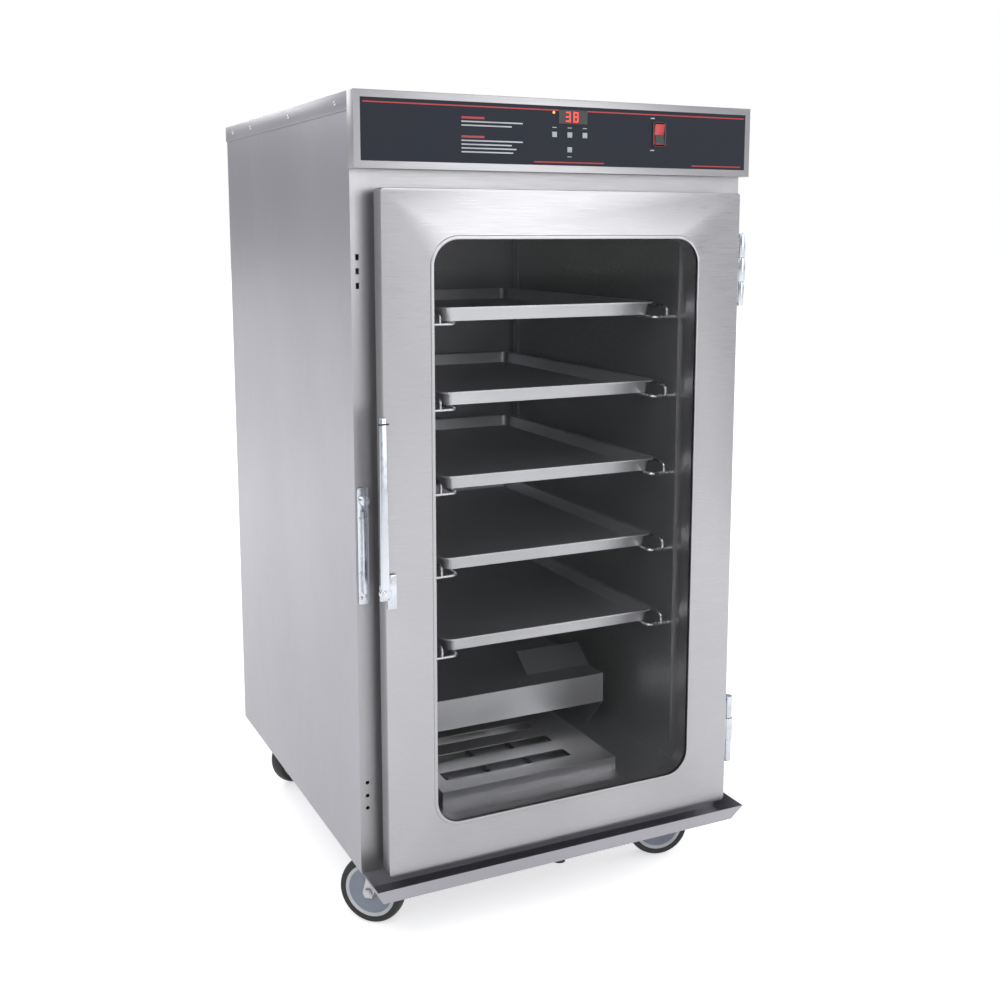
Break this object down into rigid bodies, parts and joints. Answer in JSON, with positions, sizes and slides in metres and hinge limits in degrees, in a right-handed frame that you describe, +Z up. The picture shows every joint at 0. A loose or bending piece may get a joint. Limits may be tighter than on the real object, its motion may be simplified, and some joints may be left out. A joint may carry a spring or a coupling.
{
  "type": "proofing cabinet",
  "caption": "Insulated proofing cabinet on swivel casters: glazed hinged door, latch, control console, tray rack and humidity module.",
  "frame": {"origin": "on the floor under the middle of the bounding box", "axes": "+Z up, +Y to the back, +X to the right of someone facing the door"},
  "size_m": [0.782, 0.91, 1.5],
  "materials": {
    "stainless_skin": "brushed",
    "door_stainless": "brushed",
    "liner_steel": "satin",
    "insulation_wool": "matt fibre",
    "overlay_film": "satin film",
    "electronics": "board",
    "key_plastic": "satin",
    "rocker_red": "gloss",
    "slide_wire": "polished",
    "pan_aluminium": "satin",
    "element_steel": "heat tinted",
    "motor_metal": "satin",
    "clear_glass": "clear",
    "gasket_rubber": "matt",
    "chrome_hardware": "polished",
    "caster_zinc": "zinc plate",
    "wheel_tyre": "rubber"
  },
  "bodies": {
    "root": {"base_chassis": "stainless_skin", "body_screws": "chrome_hardware", "caster_plates": "caster_zinc", "console_housing": "stainless_skin", "control_electronics": "electronics", "control_overlay": "overlay_film", "drip_trough": "stainless_skin", "fan_motor": "motor_metal", "header_rail": "stainless_skin", "heater_hood": "liner_steel", "heating_elements": "element_steel", "hinge_body_leaves": "chrome_hardware", "insulation": "insulation_wool", "latch_strike": "chrome_hardware", "left_jamb": "stainless_skin", "left_side_panel": "stainless_skin", "left_slides": "slide_wire", "liner_back": "liner_steel", "liner_floor": "liner_steel", "liner_left": "liner_steel", "liner_right": "liner_steel", "liner_top": "liner_steel", "mains_gland": "gasket_rubber", "rack_uprights": "liner_steel", "rear_panel": "stainless_skin", "right_jamb": "stainless_skin", "right_side_panel": "stainless_skin", "right_slides": "slide_wire", "sheet_pan_1": "pan_aluminium", "sheet_pan_2": "pan_aluminium", "sheet_pan_3": "pan_aluminium", "sheet_pan_4": "pan_aluminium", "sheet_pan_5": "pan_aluminium", "sill_rail": "stainless_skin", "slotted_cover": "liner_steel", "temperature_probe": "slide_wire", "top_lid": "stainless_skin", "water_pan": "liner_steel"},
    "door": {"door_outer_frame": "door_stainless", "door_inner_frame": "door_stainless", "door_glass": "clear_glass", "door_gasket": "gasket_rubber", "hinge_door_leaves": "chrome_hardware", "latch_body": "chrome_hardware"},
    "latch_lever": {"latch_lever": "chrome_hardware"},
    "power_rocker": {"power_rocker": "rocker_red"},
    "fan_wheel": {"fan_wheel": "motor_metal"},
    "drain_plug": {"drain_plug": "gasket_rubber"},
    "key_up": {"key_up": "key_plastic"},
    "key_left": {"key_left": "key_plastic"},
    "key_right": {"key_right": "key_plastic"},
    "key_down": {"key_down": "key_plastic"},
    "fork_front_left": {"caster_fork_front_left": "caster_zinc"},
    "wheel_front_left": {"caster_wheel_front_left": "wheel_tyre"},
    "fork_front_right": {"caster_fork_front_right": "caster_zinc"},
    "wheel_front_right": {"caster_wheel_front_right": "wheel_tyre"},
    "fork_rear_left": {"caster_fork_rear_left": "caster_zinc"},
    "wheel_rear_left": {"caster_wheel_rear_left": "wheel_tyre"},
    "fork_rear_right": {"caster_fork_rear_right": "caster_zinc"},
    "wheel_rear_right": {"caster_wheel_rear_right": "wheel_tyre"}
  },
  "joints": [
    {"name": "cabinet_door_hinge", "type": "hinge", "parent": "root", "child": "door", "pos_m": [0.366, -0.421, 0.75], "axis": [0, 0, 1], "range_deg": [0, 120]},
    {"name": "latch_lever_pivot", "type": "hinge", "parent": "door", "child": "latch_lever", "pos_m": [-0.358, -0.4415, 0.675], "axis": [0, 1, 0], "range_deg": [0, 40]},
    {"name": "power_rocker_tilt", "type": "hinge", "parent": "root", "child": "power_rocker", "pos_m": [0.188, -0.4048, 1.447], "axis": [1, 0, 0], "range_deg": [-8, 0]},
    {"name": "fan_spin", "type": "hinge", "parent": "root", "child": "fan_wheel", "pos_m": [0, 0.063, 0.285], "axis": [0, 1, 0], "continuous": true},
    {"name": "drain_plug_pull", "type": "slide", "parent": "root", "child": "drain_plug", "axis": [0, 0, -1], "range_m": [0, 0.012]},
    {"name": "key_up_press", "type": "slide", "parent": "root", "child": "key_up", "axis": [0, 1, 0], "range_m": [0, 0.001], "stiffness_N_per_m": 300},
    {"name": "key_left_press", "type": "slide", "parent": "root", "child": "key_left", "axis": [0, 1, 0], "range_m": [0, 0.001], "stiffness_N_per_m": 300},
    {"name": "key_right_press", "type": "slide", "parent": "root", "child": "key_right", "axis": [0, 1, 0], "range_m": [0, 0.001], "stiffness_N_per_m": 300},
    {"name": "key_down_press", "type": "slide", "parent": "root", "child": "key_down", "axis": [0, 1, 0], "range_m": [0, 0.001], "stiffness_N_per_m": 300},
    {"name": "swivel_front_left", "type": "hinge", "parent": "root", "child": "fork_front_left", "pos_m": [-0.312, -0.304, 0.1367], "axis": [0, 0, 1], "continuous": true},
    {"name": "wheel_spin_front_left", "type": "hinge", "parent": "fork_front_left", "child": "wheel_front_left", "pos_m": [-0.33145, -0.28386, 0.0635], "axis": [0.7193, 0.6947, 0], "continuous": true},
    {"name": "swivel_front_right", "type": "hinge", "parent": "root", "child": "fork_front_right", "pos_m": [0.312, -0.304, 0.1367], "axis": [0, 0, 1], "continuous": true},
    {"name": "wheel_spin_front_right", "type": "hinge", "parent": "fork_front_right", "child": "wheel_front_right", "pos_m": [0.28508, -0.29628, 0.0635], "axis": [0.2756, 0.9613, 0], "continuous": true},
    {"name": "swivel_rear_left", "type": "hinge", "parent": "root", "child": "fork_rear_left", "pos_m": [-0.312, 0.354, 0.1367], "axis": [0, 0, 1], "continuous": true},
    {"name": "wheel_spin_rear_left", "type": "hinge", "parent": "fork_rear_left", "child": "wheel_rear_left", "pos_m": [-0.28642, 0.36539, 0.0635], "axis": [0.4067, -0.9135, 0], "continuous": true},
    {"name": "swivel_rear_right", "type": "hinge", "parent": "root", "child": "fork_rear_right", "pos_m": [0.312, 0.354, 0.1367], "axis": [0, 0, 1], "continuous": true},
    {"name": "wheel_spin_rear_right", "type": "hinge", "parent": "fork_rear_right", "child": "wheel_rear_right", "pos_m": [0.3081, 0.38173, 0.0635], "axis": [0.9903, 0.1392, 0], "continuous": true}
  ]
}
